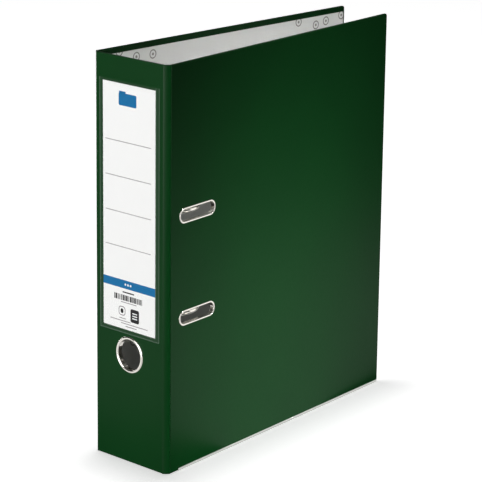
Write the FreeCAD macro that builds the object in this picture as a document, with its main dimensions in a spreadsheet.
import FreeCAD, Part
import math
import os
import re
import Sketcher

# A lever arch file for A4 paper, 80 mm across the spine.
# Frame: +Z up, spine towards -Y, front cover towards +X, rear cover towards -X, free edges
# towards +Y. The origin is at the middle of the base, on the surface that the file stands on.
#
# Most pieces are drawn from the file's outer rear corner: X from the rear cover's outer face,
# Y from the spine's outer face, Z from the base. One Placement then moves them to the frame.
# The front cover's pieces are drawn flat in the same way and turned by its lean.

V = FreeCAD.Vector
doc = FreeCAD.newDocument("LeverArchFile")
sheet = doc.addObject("Spreadsheet::Sheet", "Sizes")

# alias, millimetres (or degrees), what it is
SIZES = [
    ("file_height", 318.0, "height of the case, shoes included"),
    ("file_width", 80.0, "across the spine, outside"),
    ("file_depth", 285.0, "from the spine's face to the rear cover's free edge"),
    ("board", 2.0, "greyboard thickness"),
    ("film", 0.3, "plastic film glued over the boards"),
    ("lining", 0.3, "printed paper glued inside"),
    ("hinge_gap", 4.5, "how far each board stops from the corner it would make"),
    ("front_lean", 6.1, "degrees that the front cover leans in over the empty file"),
    ("strip", 0.6, "thickness of the hinge strip, film on lining"),
    ("strip_end_gap", 0.3, "hinge strip to the edge of the cover it bends to"),
    ("corner_round", 2.0, "round of the covers' free corners"),
    ("margin_top", 4.5, "film turned in at top and bottom, seen inside"),
    ("margin_edge", 1.6, "film turned in at the free edge, seen inside"),
    ("lining_gap", 0.2, "lining to the turned-in film"),
    ("shoe_wall", 0.4, "metal edge shoe"),
    ("shoe_leg", 2.3, "height of the shoe's legs"),
    ("shoe_start", 14.0, "spine face to the shoe's near end"),
    ("shoe_end_gap", 1.0, "shoe's far end to the cover's free edge"),
    ("mech_rise", 2.5, "middle of the case to the middle of the mechanism"),
    ("hole_pitch", 80.0, "ring to ring"),
    ("ring_span", 37.0, "post's centre to the arch's leg"),
    ("arch_axis_y", 17.0, "spine face to the axis that the arches turn on"),
    ("wire_clear", 0.55, "arch wire to the leaf spring under it"),
    ("crown_clear", 3.0, "arches' crown to the front cover's inner face"),
    ("ring_gap", 0.3, "post's tip to the arch's tip"),
    ("wire_radius", 2.25, "arch wire and posts"),
    ("wire_bend", 5.0, "bend radius of the arch wire, on its centre line"),
    ("crank_reach", 14.0, "axis of the arches to the crank bar"),
    ("crank_half", 15.0, "half of the crank's width, on its centre lines"),
    ("running", 0.06, "radial clearance of a turning shaft"),
    ("sunk", 0.2, "how far joined blocks of one piece go into each other"),
    ("past", 1.0, "how far a cut runs past the face that it opens"),
    ("fixed_fit", 0.03, "radial clearance of a shaft that is held"),
    ("plate", 1.0, "base plate thickness"),
    ("plate_before", 8.0, "base plate's edge to the axis of the arches"),
    ("plate_beyond", 9.0, "posts to the base plate's other edge"),
    ("plate_height", 158.0, "base plate, up the cover"),
    ("plate_round", 5.0, "round of the base plate's corners"),
    ("lug_half", 3.0, "half of a bearing lug's length"),
    ("lug_z", 26.0, "middle of the mechanism to a bearing lug"),
    ("lug_wall", 1.3, "bearing lug around the wire"),
    ("rivet_inset_y", 6.0, "base plate's long edges to the rivets"),
    ("rivet_inset_z", 7.0, "base plate's short edges to the rivets"),
    ("rivet_radius", 2.2, "rivet shank"),
    ("rivet_head", 4.5, "rivet head radius"),
    ("rivet_head_rise", 0.8, "rivet head thickness"),
    ("rivet_play", 0.1, "rivet shank to its holes"),
    ("post_foot", 4.0, "radius of the post's foot"),
    ("post_foot_rise", 1.4, "height of the post's foot"),
    ("post_chamfer", 0.6, "chamfer at the post's tip"),
    ("roller_radius", 4.5, "roller"),
    ("roller_half", 5.2, "half of the roller's length"),
    ("roller_gap", 0.3, "roller to the crank bar"),
    ("roller_pin_radius", 1.5, "pin of the roller"),
    ("lever_pivot_reach", 16.0, "roller's axis to the lever's axis"),
    ("lever_pin_radius", 2.0, "pin of the lever"),
    ("lever_wall", 1.2, "sheet of the lever"),
    ("lever_half", 7.6, "half of the lever's width"),
    ("lever_clear", 0.5, "edge of the lever's sides to the roller's underside"),
    ("lever_back_gap", 0.4, "roller to the inside of the lever's back"),
    ("lever_tip_y", 10.0, "spine face to the steel lever's tip"),
    ("ear_gap", 0.4, "lever's side to the ear"),
    ("ear_wall", 1.2, "ear sheet"),
    ("ear_round", 4.6, "ear radius round the lever's pin"),
    ("pin_head", 3.2, "radius of the lever pin's heads"),
    ("pin_head_rise", 0.8, "thickness of the lever pin's heads"),
    ("grip_tip_y", 7.0, "spine face to the thumb grip"),
    ("grip_length", 14.0, "thumb grip, along the lever"),
    ("grip_half", 11.0, "half of the thumb grip's width"),
    ("grip_wall", 1.6, "thumb grip around the lever"),
    ("grip_play", 0.05, "thumb grip to the lever"),
    ("grip_round", 1.4, "round of the thumb grip"),
    ("spring", 0.4, "leaf spring thickness"),
    ("spring_width", 8.0, "leaf spring width"),
    ("spring_start", 26.0, "spine face to the spring's free end"),
    ("spring_end", 44.0, "spine face to the spring's held end"),
    ("spring_rivet_radius", 1.5, "rivet of the leaf spring"),
    ("spring_rivet_head", 2.6, "radius of that rivet's head"),
    ("spring_rivet_rise", 0.7, "thickness of that rivet's head"),
    ("spring_rivet_inset", 0.6, "spring's held end to that rivet's head"),
    ("sleeve_gap", 1.2, "post's foot to the compressor sleeve at rest"),
    ("sleeve_rise", 8.0, "length of a compressor sleeve along its post"),
    ("sleeve_half", 5.5, "half of a compressor sleeve's width"),
    ("sleeve_round", 1.2, "round of the compressor sleeves"),
    ("bar_radius", 1.8, "compressor bar wire"),
    ("bar_bend", 5.0, "bend radius of the bar, on its centre line"),
    ("bar_offset", 12.5, "posts' line to the bar's middle"),
    ("bar_step", 13.0, "posts to where the bar turns outwards"),
    ("bar_clear", 0.25, "post to the end of the compressor bar in its sleeve"),
    ("slot_over", 6.7, "rado eyelet's rim length, beyond the ring's span"),
    ("slot_width", 12.2, "rado eyelet, rim width"),
    ("slot_rim", 1.4, "rado eyelet, rim to hole"),
    ("slot_wall", 0.5, "rado eyelet, sheet"),
    ("slot_washer_rim", 2.0, "inner washer, shank to its edge"),
    ("slot_washer", 0.6, "inner washer thickness"),
    ("eyelet_play", 0.1, "eyelet shanks to their holes"),
    ("finger_z", 87.7, "middle of the finger ring above the base"),
    ("finger_radius", 12.0, "finger hole"),
    ("finger_wall", 0.7, "finger ring tube"),
    ("finger_rim", 14.5, "finger ring rim radius"),
    ("finger_rim_rise", 0.9, "finger ring rim thickness"),
    ("finger_washer_rim", 15.0, "inner washer radius"),
    ("finger_washer", 0.7, "inner washer thickness"),
    ("label_side", 12.0, "side of the file to the label card"),
    ("label_top_gap", 20.2, "label card to the top of the file"),
    ("label_card", 0.3, "label card thickness"),
    ("label_above_ring", 5.1, "finger ring's rim to the label card"),
    ("label_play", 0.1, "label card to its pocket"),
    ("pocket_front", 0.25, "clear front sheet of the pocket"),
    ("pocket_weld_side", 3.9, "welded border beside the card"),
    ("pocket_weld_base", 3.3, "welded border below the card"),
    ("pocket_above", 2.0, "pocket above the card"),
]
for row, (alias, number, meaning) in enumerate(SIZES, start=1):
    sheet.set(f"A{row}", alias)
    sheet.set(f"B{row}", str(number))
    sheet.set(f"C{row}", meaning)
    sheet.setAlias(f"B{row}", alias)
doc.recompute()

ALIASES = {alias for alias, number, meaning in SIZES}
NAMED = {}


def formula(text):
    """A formula in the sheet's aliases and in the names below, as FreeCAD reads it."""
    def word(match):
        name = match.group(0)
        if name in NAMED:
            return "(" + formula(NAMED[name]) + ")"
        return "Sizes." + name if name in ALIASES else name
    return re.sub(r"[A-Za-z_][A-Za-z_0-9]*", word, str(text))


def number(text):
    """The value of such a formula, for what can't be bound."""
    return float(sheet.evalExpression(formula(text)))


def bind(piece, **sizes):
    for name, text in sizes.items():
        piece.setExpression(name, formula(text))


# Places that several pieces share, worked out from the sizes above.
NAMED.update({
    "wall": "board + film + lining",
    "deck": "wall + plate",
    "mech_z": "file_height / 2 + mech_rise",
    "arch_axis_rise": "spring + wire_clear + wire_radius",
    "arch_axis_x": "deck + arch_axis_rise",
    "front_inner_x": ("file_width - (ring_mid_y - hinge_gap) * tan(front_lean * 1deg)"
                      " - wall / cos(front_lean * 1deg)"),
    "ring_x": "front_inner_x - crown_clear - wire_radius - ring_span / 2",
    "post_y": "arch_axis_y + ring_span",
    "ring_mid_y": "arch_axis_y + ring_span / 2",
    "crank_y": "arch_axis_y + crank_reach",
    "lever_x": "arch_axis_x + wire_radius + roller_gap + roller_radius",
    "lever_y": "crank_y + lever_pivot_reach",
    "plate_low": "mech_z - plate_height / 2",
    "plate_top": "mech_z + plate_height / 2",
    "plate_near": "arch_axis_y - plate_before",
    "plate_far": "post_y + plate_beyond",
    "lever_below": "roller_radius - lever_clear",
    "lever_above": "roller_radius + lever_back_gap + lever_wall",
    "bar_start": "wire_radius + bar_clear",
    "sleeve_start": "deck + post_foot_rise + sleeve_gap",
    "slot_length": "ring_span + slot_over",
    "base": "shoe_wall",
    "slot_mid_y": "hinge_gap + (ring_mid_y - hinge_gap) / cos(front_lean * 1deg)",
    "slot_hole_length": "slot_length - 2 * slot_rim",
    "slot_hole_width": "slot_width - 2 * slot_rim",
    "slot_shank_length": "slot_hole_length + 2 * slot_wall",
    "slot_shank_width": "slot_hole_width + 2 * slot_wall",
    "finger_x": "file_width / 2",
    "label_width": "file_width - 2 * label_side",
    "label_low_x": "label_side",
    "label_z": "finger_z + finger_rim + label_above_ring",
    "label_height": "file_height - label_top_gap - label_z",
    "pocket_depth": "label_card + 2 * label_play",
    "bar_x": "sleeve_start + sleeve_rise / 2",
    "lug_radius": "wire_radius + running + lug_wall",
    "pin_half": "lever_half + ear_gap + ear_wall",
    "spring_rivet_y": "spring_end - spring_rivet_head - spring_rivet_inset",
})


# ---------------------------------------------------------------- placing and checking

SUB_PARTS = []


def keep(piece, label, front=False):
    """Name a finished sub-part and put it in the file's frame."""
    piece.Label = label
    if front:
        piece.Placement = FreeCAD.Placement(V(0, 0, 0), FreeCAD.Rotation(V(0, 0, 1), 1))
        piece.setExpression(".Placement.Rotation.Angle", formula("front_lean * 1deg"))
        place(piece, "file_width / 2 + hinge_gap * sin(front_lean * 1deg)",
              "-file_depth / 2 + hinge_gap * (1 - cos(front_lean * 1deg))")
    else:
        place(piece, "-file_width / 2", "-file_depth / 2")
    SUB_PARTS.append(piece)
    return piece


def place(piece, x, y, z="0"):
    piece.setExpression(".Placement.Base.x", formula(x))
    piece.setExpression(".Placement.Base.y", formula(y))
    piece.setExpression(".Placement.Base.z", formula(z))


def box(x, y, z, length, width, height):
    piece = doc.addObject("Part::Box", "Block")
    bind(piece, Length=length, Width=width, Height=height)
    place(piece, x, y, z)
    return piece


BOX_EDGES = range(1, 13)
ALONG = {"X": FreeCAD.Rotation(V(0, 1, 0), 90), "Z": FreeCAD.Rotation()}


def rod(along, x, y, z, radius, length):
    """A cylinder that starts at a point and runs along X or Z."""
    piece = doc.addObject("Part::Cylinder", "Rod")
    piece.Placement = FreeCAD.Placement(V(0, 0, 0), ALONG[along])
    bind(piece, Radius=radius, Height=length)
    place(piece, x, y, z)
    return piece


def fuse(*pieces):
    joined = doc.addObject("Part::MultiFuse", "Joined")
    joined.Shapes = list(pieces)
    return joined


def cut(piece, *tools):
    left = doc.addObject("Part::Cut", "Cut")
    left.Base = piece
    left.Tool = fuse(*tools) if len(tools) > 1 else tools[0]
    return left


# ---------------------------------------------------------------- sketched plates

def sketch_on(body, role, start):
    plane = next(f for f in body.Origin.OriginFeatures if f.Role == role)
    sketch = body.newObject("Sketcher::SketchObject", "Outline")
    sketch.AttachmentSupport = [(plane, "")]
    sketch.MapMode = "FlatFace"
    sketch.setExpression(".AttachmentOffset.Base.z", formula(start))
    return sketch


def measure(sketch, kind, text, *points):
    """A distance or radius constraint, bound to a formula."""
    index = sketch.addConstraint(Sketcher.Constraint(kind, *points, number(text)))
    sketch.setExpression(f"Constraints[{index}]", formula(text))


def join_ends(sketch, pairs, kind="Tangent"):
    for first, first_end, second, second_end in pairs:
        sketch.addConstraint(Sketcher.Constraint(kind, first, first_end, second, second_end))


START, END, CENTRE, ORIGIN = 1, 2, 3, (-1, 1)


def rectangle(sketch, low_a, low_b, high_a, high_b):
    a, b, c, d = number(low_a), number(low_b), number(high_a), number(high_b)
    corners = [V(a, b, 0), V(c, b, 0), V(c, d, 0), V(a, d, 0)]
    for i in range(4):
        sketch.addGeometry(Part.LineSegment(corners[i], corners[(i + 1) % 4]))
        sketch.addConstraint(Sketcher.Constraint(("Horizontal", "Vertical")[i % 2], i))
    join_ends(sketch, [(i, END, (i + 1) % 4, START) for i in range(4)], "Coincident")
    for kind, text, point in (("DistanceX", low_a, 0), ("DistanceY", low_b, 0),
                              ("DistanceX", high_a, 2), ("DistanceY", high_b, 2)):
        measure(sketch, kind, text, *ORIGIN, point, START)


def cover_outline(sketch, near, far, low, high, radius):
    """A rectangle whose two corners at the far edge are rounded."""
    a, c, b, d, r = (number(text) for text in (near, far, low, high, radius))
    quarter = math.pi / 2
    lower = Part.ArcOfCircle(Part.Circle(V(c - r, b + r, 0), V(0, 0, 1), r), -quarter, 0)
    upper = Part.ArcOfCircle(Part.Circle(V(c - r, d - r, 0), V(0, 0, 1), r), 0, quarter)
    for edge in (Part.LineSegment(V(a, b, 0), V(c - r, b, 0)), lower,
                 Part.LineSegment(V(c, b + r, 0), V(c, d - r, 0)), upper,
                 Part.LineSegment(V(c - r, d, 0), V(a, d, 0)),
                 Part.LineSegment(V(a, d, 0), V(a, b, 0))):
        sketch.addGeometry(edge)
    join_ends(sketch, [(i, END, i + 1, START) for i in range(4)])
    join_ends(sketch, [(4, END, 5, START), (5, END, 0, START)], "Coincident")
    for kind, line in (("Horizontal", 0), ("Vertical", 2), ("Horizontal", 4), ("Vertical", 5)):
        sketch.addConstraint(Sketcher.Constraint(kind, line))
    sketch.addConstraint(Sketcher.Constraint("Equal", 1, 3))
    measure(sketch, "Radius", radius, 1)
    measure(sketch, "DistanceX", near, *ORIGIN, 0, START)
    measure(sketch, "DistanceY", low, *ORIGIN, 0, START)
    measure(sketch, "DistanceX", far, *ORIGIN, 2, START)
    measure(sketch, "DistanceY", high, *ORIGIN, 4, START)


def slot(sketch, mid_a, mid_b, length, width):
    """A slot that runs along the sketch's first axis."""
    a, b, l, w = (number(text) for text in (mid_a, mid_b, length, width))
    r, half = w / 2, (l - w) / 2
    quarter = math.pi / 2
    right = Part.ArcOfCircle(Part.Circle(V(a + half, b, 0), V(0, 0, 1), r), -quarter, quarter)
    left = Part.ArcOfCircle(Part.Circle(V(a - half, b, 0), V(0, 0, 1), r), quarter, 3 * quarter)
    for edge in (Part.LineSegment(V(a - half, b - r, 0), V(a + half, b - r, 0)), right,
                 Part.LineSegment(V(a + half, b + r, 0), V(a - half, b + r, 0)), left):
        sketch.addGeometry(edge)
    join_ends(sketch, [(i, END, (i + 1) % 4, START) for i in range(4)])
    sketch.addConstraint(Sketcher.Constraint("Horizontal", 0))
    measure(sketch, "Radius", f"({width}) / 2", 1)
    straight = f"(({length}) - ({width}))"
    measure(sketch, "DistanceX", f"{mid_a} + {straight} / 2", *ORIGIN, 1, CENTRE)
    measure(sketch, "DistanceX", f"{mid_a} - {straight} / 2", *ORIGIN, 3, CENTRE)
    measure(sketch, "DistanceY", mid_b, *ORIGIN, 1, CENTRE)


def circle(sketch, mid_a, mid_b, radius):
    sketch.addGeometry(Part.Circle(V(number(mid_a), number(mid_b), 0), V(0, 0, 1), number(radius)))
    measure(sketch, "Radius", radius, 0)
    measure(sketch, "DistanceX", mid_a, *ORIGIN, 0, CENTRE)
    measure(sketch, "DistanceY", mid_b, *ORIGIN, 0, CENTRE)


def plate(plane, start, thickness, outline, *sizes):
    """A body with one padded outline: on YZ it grows along +X, on XZ along +Y, from start."""
    body = doc.addObject("PartDesign::Body", "Plate")
    if plane == "YZ":
        sketch = sketch_on(body, "YZ_Plane", start)
    else:
        sketch = sketch_on(body, "XZ_Plane", f"-({start} + {thickness})")
    outline(sketch, *sizes)
    pad = body.newObject("PartDesign::Pad", "Pad")
    pad.Profile = sketch
    bind(pad, Length=thickness)
    body.Tip = pad
    return body


# ---------------------------------------------------------------- bent wires

SAME_PLACE = 1e-6


def bent_path(points, radii):
    """Straight runs joined by tangent arcs; a run that its arcs use up is left out."""
    edges = []
    last = points[0]
    for before, corner, after, radius in zip(points, points[1:], points[2:], radii):
        inwards = (before - corner).normalize()
        onwards = (after - corner).normalize()
        half = inwards.getAngle(onwards) / 2
        reach = radius / math.tan(half)
        start, end = corner + inwards * reach, corner + onwards * reach
        middle = corner + (inwards + onwards).normalize() * (radius / math.sin(half) - radius)
        if (start - last).Length > SAME_PLACE:
            edges.append(Part.LineSegment(last, start).toShape())
        edges.append(Part.Arc(start, middle, end).toShape())
        last = end
    if (points[-1] - last).Length > SAME_PLACE:
        edges.append(Part.LineSegment(last, points[-1]).toShape())
    return Part.Wire(edges)


def bent_wire(label, points, radii, radius):
    """A round wire along such a path. It is drawn from the file's corner, like the rest."""
    path = bent_path(points, radii)
    section = Part.Wire(Part.makeCircle(radius, points[0], points[1] - points[0]))
    solid = path.makePipeShell([section], True, False)
    expected = math.pi * radius ** 2 * path.Length
    print(f"{label}: volume is {solid.Volume / expected:.4f} of section times length")
    piece = doc.addObject("Part::Feature", "Wire")
    piece.Shape = solid
    return keep(piece, label)


# ---------------------------------------------------------------- boards, film and lining

def slots(start, thickness, length, width):
    """The two slot-shaped plates in line with the rings, on the front cover."""
    return [plate("YZ", start, thickness, slot, "slot_mid_y",
                  f"mech_z {side} hole_pitch / 2", length, width) for side in "-+"]


def rivet_places():
    return [(y, z) for y in ("plate_near + rivet_inset_y", "plate_far - rivet_inset_y")
            for z in ("plate_low + rivet_inset_z", "plate_top - rivet_inset_z")]


def rivet_holes():
    return [rod("X", "-past", y, z, "rivet_radius + rivet_play", "deck + 2 * past")
            for y, z in rivet_places()]


def cover(name, outer, board_at, lining_at, openings, front=False):
    """Board, film and lining of one cover. The film goes round the board's three free edges.

    outer, board_at and lining_at are where the panel, its board and its lining start in X.
    """
    far = "file_depth"
    keep(cut(plate("YZ", board_at, "board", cover_outline, "hinge_gap", f"{far} - film",
                   "base + film", "file_height - film", "corner_round - film"),
             *openings()), f"{name}_board", front)
    skin = plate("YZ", outer, "wall", cover_outline, "hinge_gap", far, "base", "file_height",
                 "corner_round")
    core = plate("YZ", board_at, "board", cover_outline, "hinge_gap - past", f"{far} - film",
                 "base + film", "file_height - film", "corner_round - film")
    window = plate("YZ", lining_at, "lining", rectangle, "hinge_gap - past",
                   "base + margin_top", f"{far} - margin_edge", "file_height - margin_top")
    keep(cut(skin, core, window, *openings()), f"{name}_cover_film", front)
    keep(cut(plate("YZ", lining_at, "lining", rectangle, "hinge_gap",
                   "base + margin_top + lining_gap", f"{far} - margin_edge - lining_gap",
                   "file_height - margin_top - lining_gap"), *openings()),
         f"{name}_lining", front)


def front_openings():
    return slots("-wall - past", "wall + 2 * past", "slot_shank_length + 2 * eyelet_play",
                 "slot_shank_width + 2 * eyelet_play")


def finger_opening():
    return [plate("XZ", "-past", "wall + 2 * past", circle, "finger_x", "finger_z",
                  "finger_radius + finger_wall + eyelet_play")]


cover("rear", "0", "film", "film + board", rivet_holes)
cover("front", "-wall", "-film - board", "-wall", front_openings, front=True)

keep(cut(plate("XZ", "film", "board", rectangle, "hinge_gap", "base + film",
               "file_width - hinge_gap", "file_height - film"), *finger_opening()), "spine_board")
spine_skin = plate("XZ", "0", "wall", rectangle, "hinge_gap", "base",
                   "file_width - hinge_gap", "file_height")
spine_core = plate("XZ", "film", "board", rectangle, "hinge_gap - past", "base + film",
                   "file_width - hinge_gap + past", "file_height - film")
spine_window = plate("XZ", "film + board", "lining", rectangle, "hinge_gap - past",
                     "base + margin_top", "file_width - hinge_gap + past",
                     "file_height - margin_top")
keep(cut(spine_skin, spine_core, spine_window, *finger_opening()), "spine_film")
keep(cut(plate("XZ", "film + board", "lining", rectangle, "hinge_gap",
               "base + margin_top + lining_gap", "file_width - hinge_gap",
               "file_height - margin_top - lining_gap"), *finger_opening()), "spine_lining")


def hinge_strip(label, board_edge, towards):
    """The strip that bridges a corner, from the spine's edge to the cover's edge.

    Its section is a slanted band. towards is +1 for the front hinge and -1 for the rear.
    """
    gap = number("hinge_gap")
    reach = gap - number("strip_end_gap")
    slant = number("strip") * math.sqrt(2)
    x, z = number(board_edge), number("base")
    outline = [V(x, 0, z), V(x + towards * reach, reach, z),
               V(x + towards * (reach - slant), reach, z), V(x, slant, z)]
    face = Part.Face(Part.makePolygon(outline + outline[:1]))
    piece = doc.addObject("Part::Feature", "Strip")
    piece.Shape = face.extrude(V(0, 0, number("file_height - base")))
    keep(piece, label)


hinge_strip("front_hinge_strip", "file_width - hinge_gap", 1)
hinge_strip("rear_hinge_strip", "hinge_gap", -1)


# ---------------------------------------------------------------- metal edge shoes

def edge_shoe(label, low_x, front=False):
    """A folded steel edge round the bottom of a cover."""
    length = "file_depth - shoe_end_gap - shoe_start"
    outer = box(f"{low_x} - shoe_wall", "shoe_start", "0", "wall + 2 * shoe_wall", length,
                "shoe_leg")
    inner = box(low_x, "shoe_start - past", "shoe_wall", "wall", f"{length} + 2 * past",
                "shoe_leg")
    keep(cut(outer, inner), label, front)


edge_shoe("rear_edge_shoe", "0")
edge_shoe("front_edge_shoe", "-wall", front=True)


# ---------------------------------------------------------------- rado eyelets and finger ring

for where, side in (("lower", "-"), ("upper", "+")):
    middle = ("slot_mid_y", f"mech_z {side} hole_pitch / 2")
    rim = plate("YZ", "0", "slot_wall", slot, *middle, "slot_length", "slot_width")
    shank = plate("YZ", "-wall - slot_washer", "wall + slot_washer", slot, *middle,
                  "slot_shank_length", "slot_shank_width")
    hole = plate("YZ", "-wall - slot_washer - past", "wall + slot_washer + slot_wall + 2 * past",
                 slot, *middle, "slot_hole_length", "slot_hole_width")
    keep(cut(fuse(rim, shank), hole), f"rado_eyelet_{where}", front=True)
    washer = plate("YZ", "-wall - slot_washer", "slot_washer", slot, *middle,
                   "slot_shank_length + 2 * slot_washer_rim",
                   "slot_shank_width + 2 * slot_washer_rim")
    washer_hole = plate("YZ", "-wall - slot_washer - past", "slot_washer + 2 * past", slot,
                        *middle, "slot_shank_length + 2 * eyelet_play",
                        "slot_shank_width + 2 * eyelet_play")
    keep(cut(washer, washer_hole), f"rado_washer_{where}", front=True)

ring_rim = plate("XZ", "-finger_rim_rise", "finger_rim_rise", circle, "finger_x", "finger_z",
                 "finger_rim")
ring_tube = plate("XZ", "0", "wall + finger_washer", circle, "finger_x", "finger_z",
                  "finger_radius + finger_wall")
ring_hole = plate("XZ", "-finger_rim_rise - past",
                  "wall + finger_washer + finger_rim_rise + 2 * past", circle, "finger_x",
                  "finger_z", "finger_radius")
keep(cut(fuse(ring_rim, ring_tube), ring_hole), "finger_ring")
keep(cut(plate("XZ", "wall", "finger_washer", circle, "finger_x", "finger_z",
               "finger_washer_rim"),
         plate("XZ", "wall - past", "finger_washer + 2 * past", circle, "finger_x", "finger_z",
               "finger_radius + finger_wall + eyelet_play")), "finger_ring_washer")


# ---------------------------------------------------------------- label pocket and card

pocket = box("label_low_x - label_play - pocket_weld_side", "-pocket_depth - pocket_front",
             "label_z - label_play - pocket_weld_base",
             "label_width + 2 * label_play + 2 * pocket_weld_side",
             "pocket_depth + pocket_front",
             "label_height + label_play + pocket_weld_base + pocket_above")
pocket_inside = box("label_low_x - label_play", "-pocket_depth", "label_z - label_play",
                    "label_width + 2 * label_play", "pocket_depth + past",
                    "label_height + label_play + pocket_above + past")
keep(cut(pocket, pocket_inside), "label_pocket")
keep(box("0", "0", "0", "label_width", "label_card", "label_height"), "label_card")
place(SUB_PARTS[-1], "-label_width / 2", "-file_depth / 2 - label_play - label_card", "label_z")


# ---------------------------------------------------------------- mechanism: base plate

def ear(side):
    """One of the two ears that carry the lever's pin, bent up from the base plate."""
    low_z = ("mech_z + lever_half + ear_gap" if side > 0
             else "mech_z - lever_half - ear_gap - ear_wall")
    foot = box("deck - sunk", "lever_y - ear_round", low_z, "lever_x - deck + sunk",
               "2 * ear_round", "ear_wall")
    return fuse(foot, rod("Z", "lever_x", "lever_y", low_z, "ear_round", "ear_wall"))


def lug(side):
    """A loop of the base plate's steel that holds the arch wire down and lets it turn."""
    low_z = f"mech_z {side} lug_z - lug_half"
    foot = box("deck - sunk", "arch_axis_y - lug_radius", low_z, "arch_axis_rise + sunk",
               "2 * lug_radius", "2 * lug_half")
    return fuse(foot, rod("Z", "arch_axis_x", "arch_axis_y", low_z, "lug_radius",
                          "2 * lug_half"))


base_far = plate("YZ", "wall", "plate", cover_outline, "plate_near + plate_round", "plate_far",
                 "plate_low", "plate_top", "plate_round")
base_near = fuse(
    box("wall", "plate_near", "plate_low + plate_round", "plate", "plate_round + sunk",
        "plate_height - 2 * plate_round"),
    rod("X", "wall", "plate_near + plate_round", "plate_low + plate_round", "plate_round",
        "plate"),
    rod("X", "wall", "plate_near + plate_round", "plate_top - plate_round", "plate_round",
        "plate"))
base = fuse(base_far, base_near)
wire_bore = rod("Z", "arch_axis_x", "arch_axis_y", "mech_z - hole_pitch / 2",
                "wire_radius + running", "hole_pitch")
pin_bore = rod("Z", "lever_x", "lever_y", "mech_z - hole_pitch / 2",
               "lever_pin_radius + fixed_fit", "hole_pitch")
spring_bore = rod("X", "wall - past", "spring_rivet_y", "mech_z",
                  "spring_rivet_radius + fixed_fit", "plate + 2 * past")
keep(cut(fuse(base, ear(1), ear(-1), lug("+"), lug("-")), wire_bore, pin_bore, spring_bore,
         *rivet_holes()), "base_plate")


# ---------------------------------------------------------------- mechanism: fixed pieces

for where, side in (("lower", "-"), ("upper", "+")):
    z = f"mech_z {side} hole_pitch / 2"
    height = "ring_x - ring_gap - deck"
    shank = rod("X", "deck", "post_y", z, "wire_radius", f"{height} - post_chamfer")
    foot = rod("X", "deck", "post_y", z, "post_foot", "post_foot_rise")
    tip = doc.addObject("Part::Cone", "Tip")
    tip.Placement = FreeCAD.Placement(V(0, 0, 0), ALONG["X"])
    bind(tip, Radius1="wire_radius", Radius2="wire_radius - post_chamfer",
         Height="post_chamfer")
    place(tip, "ring_x - ring_gap - post_chamfer", "post_y", z)
    keep(fuse(shank, foot, tip), f"fixed_post_{where}")

keep(fuse(rod("Z", "lever_x", "lever_y", "mech_z - pin_half - pin_head_rise", "pin_head",
              "pin_head_rise"),
          rod("Z", "lever_x", "lever_y", "mech_z - pin_half - sunk", "lever_pin_radius",
              "2 * pin_half + 2 * sunk"),
          rod("Z", "lever_x", "lever_y", "mech_z + pin_half", "pin_head", "pin_head_rise")),
     "lever_pivot_pin")

rivets = []
for y, z in rivet_places():
    rivets.append(fuse(rod("X", "-rivet_head_rise", y, z, "rivet_head", "rivet_head_rise"),
                       rod("X", "-sunk", y, z, "rivet_radius", "deck + 2 * sunk"),
                       rod("X", "deck", y, z, "rivet_head", "rivet_head_rise")))
keep(fuse(*rivets), "base_rivets")

leaf = box("deck", "spring_start", "mech_z - spring_width / 2", "spring",
           "spring_end - spring_start", "spring_width")
leaf_hole = rod("X", "deck - past", "spring_rivet_y", "mech_z",
                "spring_rivet_radius + fixed_fit", "spring + 2 * past")
keep(cut(leaf, leaf_hole), "crank_spring")
keep(fuse(rod("X", "wall", "spring_rivet_y", "mech_z", "spring_rivet_radius",
              "plate + spring + sunk"),
          rod("X", "deck + spring", "spring_rivet_y", "mech_z", "spring_rivet_head",
              "spring_rivet_rise")), "spring_rivet")


# ---------------------------------------------------------------- mechanism: arches

def arch_corners(side):
    """Corner points and bend radii of one arch, from its tip to the crank bar."""
    x, top = number("arch_axis_x"), number("ring_x + ring_span / 2")
    leg_y, post_y, bar_y = number("arch_axis_y"), number("post_y"), number("crank_y")
    ring_z = number("mech_z") + side * number("hole_pitch / 2")
    bar_z = number("mech_z") + side * number("crank_half")
    corners = [V(number("ring_x"), post_y, ring_z), V(top, post_y, ring_z),
               V(top, leg_y, ring_z), V(x, leg_y, ring_z), V(x, leg_y, bar_z),
               V(x, bar_y, bar_z)]
    crown, bend = number("ring_span / 2"), number("wire_bend")
    return corners, [crown, crown, bend, bend, bend]


lower_corners, lower_bends = arch_corners(-1)
upper_corners, upper_bends = arch_corners(1)
bent_wire("arch_wire", lower_corners + upper_corners[::-1], lower_bends + upper_bends[::-1],
          number("wire_radius"))


# ---------------------------------------------------------------- mechanism: lever

def lever_sides(half, radius):
    """The lever's outline: a bar from its tip, with a round heel about the pin."""
    bar = box("lever_x - lever_below", "lever_tip_y", f"mech_z - ({half})",
              "lever_below + lever_above", "lever_y - lever_tip_y", f"2 * ({half})")
    heel = rod("Z", "lever_x", "lever_y", f"mech_z - ({half})", radius, f"2 * ({half})")
    return fuse(bar, heel)


hollow = box("lever_x - lever_below - past", "lever_tip_y - past",
             "mech_z - lever_half + lever_wall",
             "past + lever_below + lever_above - lever_wall",
             "lever_y - lever_tip_y + lever_below + 2 * past", "2 * (lever_half - lever_wall)")
lever_bore = rod("Z", "lever_x", "lever_y", "mech_z - pin_half", "lever_pin_radius + running",
                 "2 * pin_half")
roller_bore = rod("Z", "lever_x", "crank_y", "mech_z - pin_half",
                  "roller_pin_radius + fixed_fit", "2 * pin_half")
keep(cut(lever_sides("lever_half", "lever_below"), hollow, lever_bore, roller_bore), "lever")

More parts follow.
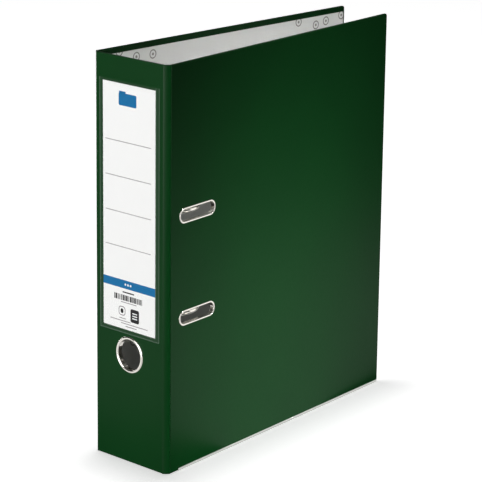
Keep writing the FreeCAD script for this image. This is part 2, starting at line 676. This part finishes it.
keep(rod("Z", "0", "0", "0", "roller_pin_radius", "2 * lever_half"), "roller_pin")
place(SUB_PARTS[-1], "-file_width / 2 + lever_x", "-file_depth / 2 + crank_y",
      "mech_z - lever_half")
keep(cut(rod("Z", "lever_x", "crank_y", "mech_z - roller_half", "roller_radius",
             "2 * roller_half"),
         rod("Z", "lever_x", "crank_y", "mech_z - roller_half - past",
             "roller_pin_radius + running", "2 * (roller_half + past)")), "roller")

grip_block = doc.addObject("Part::Fillet", "Rounded")
grip_block.Base = box("lever_x - lever_below + grip_wall", "grip_tip_y", "mech_z - grip_half",
                      "lever_below + lever_above", "grip_length", "2 * grip_half")
doc.recompute()
grip_block.Edges = [(i, number("grip_round"), number("grip_round")) for i in BOX_EDGES]
grip_hollow = lever_sides("lever_half + grip_play", "lever_below")
grip_core = box("lever_x - lever_below - past", "lever_tip_y - past",
                "mech_z - lever_half + lever_wall + grip_play",
                "past + lever_below + lever_above - lever_wall - grip_play",
                "grip_tip_y + grip_length - lever_tip_y + 2 * past",
                "2 * (lever_half - lever_wall - grip_play)")
keep(cut(grip_block, cut(grip_hollow, grip_core)), "thumb_grip")


# ---------------------------------------------------------------- compressor

for where, side in (("lower", "-"), ("upper", "+")):
    z = f"mech_z {side} hole_pitch / 2"
    block = doc.addObject("Part::Fillet", "Rounded")
    block.Base = box("sleeve_start", "post_y - sleeve_half", f"{z} - sleeve_half",
                     "sleeve_rise", "2 * sleeve_half", "2 * sleeve_half")
    doc.recompute()
    block.Edges = [(i, number("sleeve_round"), number("sleeve_round")) for i in BOX_EDGES]
    bore = rod("X", "sleeve_start - past", "post_y", z, "wire_radius + running",
               "sleeve_rise + 2 * past")
    bar_low = f"{z} + bar_start" if side == "-" else f"{z} - sleeve_half - past"
    bar_bore = rod("Z", "bar_x", "post_y", bar_low, "bar_radius + fixed_fit",
                   "sleeve_half + past - bar_start")
    keep(cut(block, bore, bar_bore), f"compressor_sleeve_{where}")


def bar_corners(side):
    z_post = number("mech_z") + side * number("hole_pitch / 2")
    x, near, far = number("bar_x"), number("post_y"), number("post_y + bar_offset")
    start = z_post - side * number("bar_start")
    turn = z_post - side * number("bar_step")
    return [V(x, near, start), V(x, near, turn), V(x, far, turn)]


corners = bar_corners(-1) + bar_corners(1)[::-1]
bent_wire("compressor_bar", corners, [number("bar_bend")] * (len(corners) - 2),
          number("bar_radius"))


# ---------------------------------------------------------------- check and export

doc.recompute()
faults = [f"{item.Name} ({item.Label}): {item.State}" for item in doc.Objects
          if "Invalid" in item.State or "Error" in item.State]
faults += [f"{piece.Label}: no valid shape" for piece in SUB_PARTS
           if piece.Shape.isNull() or not piece.Shape.isValid()]
if faults:
    raise RuntimeError("; ".join(faults))

os.makedirs("parts", exist_ok=True)
for piece in SUB_PARTS:
    size = piece.Shape.BoundBox
    print(f"{piece.Label:24s} {len(piece.Shape.Solids)} solid(s) {piece.Shape.Volume:10.1f} mm3  "
          f"x {size.XMin:7.2f} {size.XMax:7.2f}  y {size.YMin:8.2f} {size.YMax:8.2f}  "
          f"z {size.ZMin:7.2f} {size.ZMax:7.2f}")
    piece.Shape.exportStep(os.path.join("parts", piece.Label + ".step"))
print(len(SUB_PARTS), "sub-parts")
